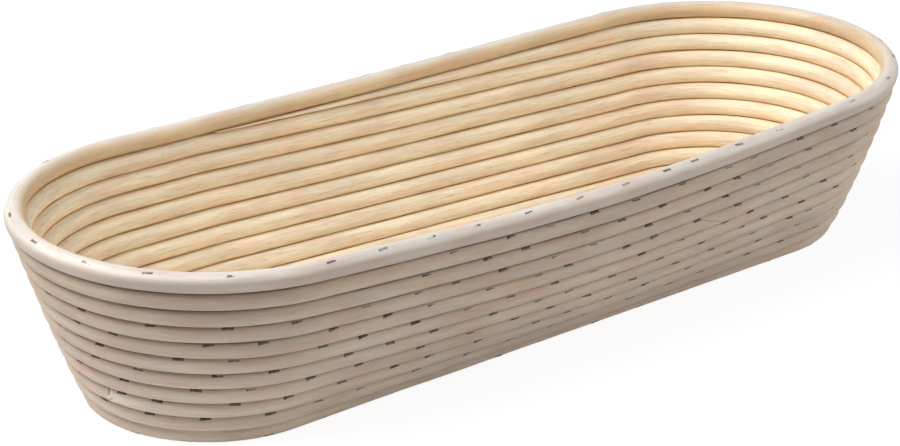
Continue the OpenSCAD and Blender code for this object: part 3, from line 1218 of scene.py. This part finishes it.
class StapleRow(GeometryTree):
    """Geometry nodes that bend one staple and set it at every point."""

    SIZES = ("Cane Radius", "Crown", "Leg", "Width", "Thickness", "Bend")
    CHANCES = ("Tilt", "Sink", "Tarnish And Shade Low", "Tarnish And Shade High")
    CORNERS = 4
    BEND_STEPS = 2
    TILT_AXES = (0.2, 0.15, 1.0)
    SINK_SALT = 11.0
    TARNISH_AND_SHADE_SALT = 23.0

    def __init__(self, sway: CaneSway) -> None:
        """Builds the tree."""
        own = dict.fromkeys(self.SIZES + self.CHANCES, NUMBER)
        super().__init__("Staple row", {**Handwork.SOCKETS, **own, "Group": WHOLE})
        self._build(sway)

    def _wire(self) -> Socket:
        """One staple, its crown along X at the top and its legs down."""
        give = self.given
        line = self.shape("GeometryNodeMeshLine", {"Count": self.CORNERS}, mode="OFFSET")
        index = self.node("GeometryNodeInputIndex").outputs[0]
        from_middle = self.minus(index, (self.CORNERS - 1) / 2)
        half_crown = self.times(self.minus(give["Crown"], give["Thickness"]), 0.5)
        half_thick = self.times(give["Thickness"], -0.5)
        at_end = self.math("GREATER_THAN", self.math("ABSOLUTE", from_middle), 1.0)
        drop = self.times(at_end, self.math("ADD", give["Leg"], half_thick))
        side = self.times(self.math("SIGN", from_middle), half_crown)
        feeds = {"Geometry": line, "Position": self.join(side, 0.0, self.minus(half_thick, drop))}
        path = self.shape("GeometryNodeMeshToCurve", {"Mesh": self.shape("GeometryNodeSetPosition", feeds)})
        bent = self.node("GeometryNodeFilletCurve", {"Curve": path, "Radius": give["Bend"]})
        for socket in bent.inputs:
            if socket.name == "Mode":
                socket.default_value = "Poly"
            if socket.name == "Count":
                socket.default_value = self.BEND_STEPS
        feeds = {"Width": give["Thickness"], "Height": give["Width"]}
        section = self.shape("GeometryNodeCurvePrimitiveQuadrilateral", feeds, mode="RECTANGLE")
        feeds = {"Curve": bent.outputs["Curve"], "Profile Curve": section, "Fill Caps": True}
        return self.shape("GeometryNodeCurveToMesh", feeds)

    def _seats(self, sway: CaneSway) -> Socket:
        """The points, moved with the waves of their cane."""
        uneven = add_sway(self, sway, self.number("way_along"))
        fuller = self.times(self.minus(uneven["Fullness"], 1.0), self.given["Cane Radius"])
        move = self.scale(self.named("way_stack"), uneven["Row Sway"])
        move = self.vector("ADD", move, self.scale(self.named("way_beside"), uneven["Out Sway"]))
        move = self.vector("ADD", move, self.scale(self.named("way_out"), fuller))
        return self.shape("GeometryNodeSetPosition", {"Geometry": self.given["Geometry"], "Offset": move})

    def _salted(self, low: object, high: object, salt: float) -> Socket:
        """A random number for each staple, with a salt of its own."""
        return self.random(low, high, self.math("ADD", self.given["Group"], salt))

    def _build(self, sway: CaneSway) -> None:
        """Adds the nodes."""
        give = self.given
        feeds = {
            "Points": self._seats(sway),
            "Instance": self._wire(),
            "Rotation": self.turn("way_out", "way_run"),
        }
        placed = self.shape("GeometryNodeInstanceOnPoints", feeds)
        most = self.join(*self.TILT_AXES)
        least = self.scale(most, self.times(give["Tilt"], -1.0))
        feeds = {"Min": least, "Max": self.scale(most, give["Tilt"]), "Seed": give["Group"]}
        tilt = self.node("FunctionNodeRandomValue", feeds, data_type="FLOAT_VECTOR").outputs["Value"]
        turned = self.shape("GeometryNodeRotateInstances", {"Instances": placed, "Rotation": tilt})
        depth = self.times(self._salted(0.0, give["Sink"], self.SINK_SALT), -1.0)
        feeds = {"Instances": turned, "Translation": self.join(0.0, 0.0, depth)}
        sunk = self.shape("GeometryNodeTranslateInstances", feeds)
        # Tarnish and painted shade for each staple.
        tarnish_and_shade_level = self._salted(give["Tarnish And Shade Low"], give["Tarnish And Shade High"], self.TARNISH_AND_SHADE_SALT)
        self.finish(self.store(sunk, "tarnish_and_shade", tarnish_and_shade_level, data_type="FLOAT", domain="INSTANCE"))


@dataclass(frozen=True)
class StapleSeat:
    """How the staples of a group sit.

    The angle turns a crown round its cane, from the row's direction outwards, in degrees.
    The crown stands proud of the cane, less a random share of the sink.
    """

    angle: float
    proud: float
    width: float = 1.1 * MM
    sink: float = 0.22 * MM
    # Range of tarnish and painted shade.
    tarnish_and_shade: Limits = (0.75, 1.0)


@dataclass
class Staples:
    """Staples that hold each turn to the one below it."""

    winding: Winding
    cane_d: float
    # Staples in the crevices of the base and wall are darkened with tarnish and painted shade; those on the
    # rim less.
    base: StapleSeat = StapleSeat(angle=20.0, proud=-0.1 * MM)
    wall: StapleSeat = StapleSeat(angle=28.0, proud=0.15 * MM)
    rim: StapleSeat = StapleSeat(angle=12.0, proud=0.04 * MM, width=0.85 * MM, sink=0.0, tarnish_and_shade=(0.0, 0.85))
    crown: float = 4.6 * MM
    leg: float = 9 * MM
    thick: float = 0.7 * MM
    bend: float = 0.4 * MM
    flush_proud: float = -0.75 * MM
    flush_rows: int = 2
    flush_share: float = 0.14
    spacing: float = 20 * MM
    base_spacing: float = 24 * MM
    shift: float = 0.4
    stray: float = 0.2
    tilt: float = math.radians(6)
    handwork: Handwork = Handwork()
    chance: np.random.Generator = field(default_factory=lambda: np.random.default_rng(STRAY_SEED))

    def spread(self, first: float, rings: int, count: int, start: float) -> np.ndarray:
        """Places spread from a ring on, with each a little off its even place.

        Args:
            first: Ring at which the stretch starts.
            rings: Rings in the stretch.
            count: Number of places.
            start: Share of their distance by which the places move on.

        Returns:
            The places, in rings.
        """
        even = np.arange(count) + start - math.floor(start)
        return first + rings * (even + self.stray * self.chance.uniform(-1, 1, count)) / count

    def wall_count(self, stretch: Stretch) -> int:
        """Staples on a stretch of each wall row and of the rim."""
        first, rings = self.winding.stretch(stretch)
        half = rings / 2
        middle = self.winding.ring_length(first + half, self.winding.wall_rows / 2)
        return 2 * max(1, math.floor(half * middle / self.spacing + 0.5))

    def base_places(self) -> np.ndarray:
        """Places of the base staples."""
        w = self.winding
        found = []
        for loop in range(w.first_loop + 1, 1):
            for stretch in Stretch:
                ring, rings = w.stretch(stretch)
                first = loop * w.loop_rings + ring
                run = rings * w.ring_length(first, loop)
                count = max(1, math.floor(run / self.base_spacing + 0.5))
                found.append(self.spread(first, rings, count, 0.5 + loop * self.shift))
        return np.concatenate(found)

    def wall_places(self, stretch: Stretch) -> np.ndarray:
        """Places of the wall staples on one stretch of every row."""
        w = self.winding
        ring, rings = w.stretch(stretch)
        count = self.wall_count(stretch)
        found = []
        for loop in range(1, w.wall_rows):
            start = 0.5 + (loop + 1 - w.wall_rows) * self.shift
            found.append(self.spread(loop * w.loop_rings + ring, rings, count, start))
        return np.concatenate(found)

    def rim_places(self) -> np.ndarray:
        """Places of the rim staples."""
        stretches = [(*self.winding.stretch(s), self.wall_count(s)) for s in Stretch]
        return np.concatenate([self.spread(ring, rings, count, 0.0) for ring, rings, count in stretches])

    def flush(self, n: np.ndarray) -> np.ndarray:
        """Whether each staple is driven right in: those of the top rows round the left end.

        Args:
            n: Places along the coil.

        Returns:
            The answer for each place.
        """
        w = self.winding
        left, _ = w.stretch(Stretch.LEFT)
        front, front_rings = w.stretch(Stretch.FRONT)
        ring = w.ring_of(n)
        high = w.loop_of(n) >= w.wall_rows - self.flush_rows
        return high & (ring >= left) & (ring < front + front_rings * self.flush_share)

    def points(self, name: str, n: np.ndarray, seat: StapleSeat) -> bpy.types.Mesh:
        """Points for a group of staples.

        Args:
            name: Name of the mesh.
            n: Places along the coil.
            seat: How the staples sit.

        Returns:
            Bare points at the crowns, with the staples' directions.
        """
        w = self.winding
        level_row = float(w.wall_rows) if seat is self.rim else None
        row = w.coil_row(n) if level_row is None else np.full_like(n, level_row)
        half_turn = math.radians(seat.angle) / 2
        drive = w.angle_between(row - 1, row, n) - half_turn
        out = w.across(n, drive)
        radius = self.cane_d / 2
        proud = np.where(self.flush(n), self.flush_proud, seat.proud)
        crown = w.spot(row, n) + w.across(n, drive - math.pi / 2) * radius * math.sin(half_turn)
        crown = crown + out * (radius * math.cos(half_turn) + proud)[:, None]
        turn = w.upright(row, n)
        fields = {
            "way_out": out,
            "way_run": w.forward(n),
            "way_stack": w.across(n, turn),
            "way_beside": w.across(n, turn - math.pi / 2),
            "way_along": w.along(n, level_row),
        }
        return point_mesh(name, crown, fields, joined=False)

    def build(self, steel: bpy.types.Material, sway: CaneSway) -> list[bpy.types.Object]:
        """Sets every group of staples.

        Args:
            steel: Material of the wire.
            sway: Shared group for the waves of the cane.

        Returns:
            The pieces.
        """
        tree = StapleRow(sway)
        groups = [("base", self.base_places(), self.base)]
        groups += [(s.value, self.wall_places(s), self.wall) for s in Stretch]
        groups.append(("rim", self.rim_places(), self.rim))
        pieces = []
        for seed, (where, n, seat) in enumerate(groups):
            name = f"staples_{where}"
            values = {
                **self.handwork.values(),
                "Cane Radius": self.cane_d / 2,
                "Crown": self.crown,
                "Leg": self.leg,
                "Width": seat.width,
                "Thickness": self.thick,
                "Bend": self.bend,
                "Tilt": self.tilt,
                "Sink": seat.sink,
                "Tarnish And Shade Low": seat.tarnish_and_shade[0],
                "Tarnish And Shade High": seat.tarnish_and_shade[1],
                "Group": seed,
                "Material": steel,
            }
            piece = tree.grow(name, self.points(name, n, seat), values)
            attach(piece, BODY)
            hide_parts(f"{where}_staples")
            pieces.append(piece)
        return pieces


# Studio


@dataclass(frozen=True)
class SoftBox:
    """One large soft lamp."""

    name: str
    place: Spot
    size: float
    power: float
    aim: Spot = (0.0, 0.0, 0.05)


@dataclass
class Studio:
    """Floor, light and camera."""

    azimuth: float = -38.62
    elevation: float = 20.49
    distance: float = 0.8519
    look_height: float = 62.2 * MM
    yaw: float = 0.908
    pitch: float = 2.126
    roll: float = -0.54
    focal_pixels: float = 2366.4
    photo_width: float = 900.0
    sensor: float = 36.0
    clip: Limits = (0.01, 50.0)
    floor_half: float = 4.0
    floor_white: float = 0.92
    floor_roughness: float = 0.9
    floor_specular: float = 0.1
    camera_white: float = 0.8
    camera_glow: float = 1.1
    sky: float = 0.14
    lamps: tuple[SoftBox, ...] = (
        SoftBox("left", (-0.9, 0.2, 1.2), 1.0, 18.5),
        SoftBox("back_left", (-0.6, 0.7, 1.2), 1.0, 9.4),
        SoftBox("front", (0.2, -1.25, 1.0), 1.0, 6.6),
        SoftBox("right_low", (1.4, -0.7, 0.45), 0.9, 7.0),
    )

    def build(self) -> None:
        """Makes the whole studio."""
        self._floor()
        self._world()
        for lamp in self.lamps:
            self._lamp(lamp)
        self._camera()
        bpy.context.scene.view_settings.view_transform = "Standard"

    def _floor(self) -> None:
        """Plain pale floor that keeps a soft shadow."""
        half = self.floor_half
        corners = [(-half, -half, 0), (half, -half, 0), (half, half, 0), (-half, half, 0)]
        mesh = bpy.data.meshes.new("floor")
        mesh.from_pydata(corners, [], [(0, 1, 2, 3)])
        floor = bpy.data.objects.new("floor", mesh)
        bpy.context.scene.collection.objects.link(floor)
        material, make, shader = new_material("pale_floor")
        shader.inputs["Base Color"].default_value = (self.floor_white,) * 3 + (1,)
        shader.inputs["Roughness"].default_value = self.floor_roughness
        shader.inputs["Specular IOR Level"].default_value = self.floor_specular
        glow = make.node("ShaderNodeEmission", {"Strength": self.camera_glow})
        seen = make.times(self._seen(make), self.camera_white)
        blend = make.node("ShaderNodeMixShader", {0: seen, 1: shader.outputs[0], 2: glow.outputs[0]})
        make.feed(material.node_tree.nodes["Material Output"], {"Surface": blend.outputs[0]})
        mesh.materials.append(material)

    @staticmethod
    def _seen(make: TreeMaker) -> Socket:
        """One where a ray comes from the camera or a mirror, nought where it is light."""
        path = make.node("ShaderNodeLightPath").outputs
        both = make.math("ADD", path["Is Camera Ray"], path["Is Glossy Ray"])
        return make.math("ADD", both, path["Is Transmission Ray"], clamp=True)

    def _world(self) -> None:
        """White backdrop with even light."""
        world = bpy.data.worlds.new("white_room")
        bpy.context.scene.world = world
        world.use_nodes = True
        make = TreeMaker(world.node_tree)
        strength = make.math("MULTIPLY_ADD", self._seen(make), 1 - self.sky, self.sky)
        back = world.node_tree.nodes["Background"]
        make.feed(back, {"Color": (1, 1, 1, 1), "Strength": strength})

    @staticmethod
    def _lamp(lamp: SoftBox) -> None:
        """Adds one soft lamp."""
        data = bpy.data.lights.new(lamp.name, "AREA")
        data.shape = "DISK"
        data.size = lamp.size
        data.energy = lamp.power
        made = bpy.data.objects.new(lamp.name, data)
        made.location = lamp.place
        towards = Vector(lamp.aim) - Vector(lamp.place)
        made.rotation_mode = "QUATERNION"
        made.rotation_quaternion = towards.to_track_quat("-Z", "Y")
        bpy.context.scene.collection.objects.link(made)

    @staticmethod
    def _towards(azimuth: float, elevation: float) -> Vector:
        """Unit vector from the object to a viewer at the given angles, in degrees."""
        a, e = math.radians(azimuth), math.radians(elevation)
        return Vector((math.sin(a) * math.cos(e), -math.cos(a) * math.cos(e), math.sin(e)))

    def _camera(self) -> None:
        """Camera at the photograph's place and lens."""
        data = bpy.data.cameras.new("camera")
        data.sensor_width = self.sensor
        data.lens = self.focal_pixels / self.photo_width * self.sensor
        data.clip_start, data.clip_end = self.clip
        ahead = -self._towards(self.azimuth + self.yaw, self.elevation + self.pitch)
        right = ahead.cross(Vector((0, 0, 1))).normalized()
        up = right.cross(ahead)
        c, s = math.cos(math.radians(self.roll)), math.sin(math.radians(self.roll))
        across, upright = c * right + s * up, c * up - s * right
        place = self._towards(self.azimuth, self.elevation) * self.distance
        place = place + Vector((0, 0, self.look_height))
        camera = bpy.data.objects.new("camera", data)
        turn = Matrix((across, upright, -ahead)).transposed().to_4x4()
        camera.matrix_world = Matrix.Translation(place) @ turn
        bpy.context.scene.collection.objects.link(camera)
        bpy.context.scene.camera = camera


# The whole basket


def main() -> None:
    """Builds the basket and the studio."""
    logging.basicConfig(level=logging.INFO, format="%(name)s: %(message)s")
    winding = Winding()
    coil = Coil(winding)
    grain = CaneGrain()
    radius = coil.diameter / 2
    finishes = {
        Slot.CANE: WALL_CANE.build(grain, radius),
        Slot.RIM: HOOP_CANE.build(grain, radius),
        Slot.STEEL: STAPLE_STEEL.build(),
    }
    sway = CaneSway()
    pieces = coil.build(finishes, sway)
    splinters = Splinters(winding, coil.lower_splice(), coil.lower_splice_rows, coil.diameter)
    pieces.append(splinters.build(finishes[Slot.CANE]))
    pieces += Staples(winding, coil.diameter).build(finishes[Slot.STEEL], sway)
    for piece in pieces:
        LOG.info("%s: %d faces", piece.name, len(piece.data.polygons))
    Studio().build()


if __name__ == "__main__":
    main()
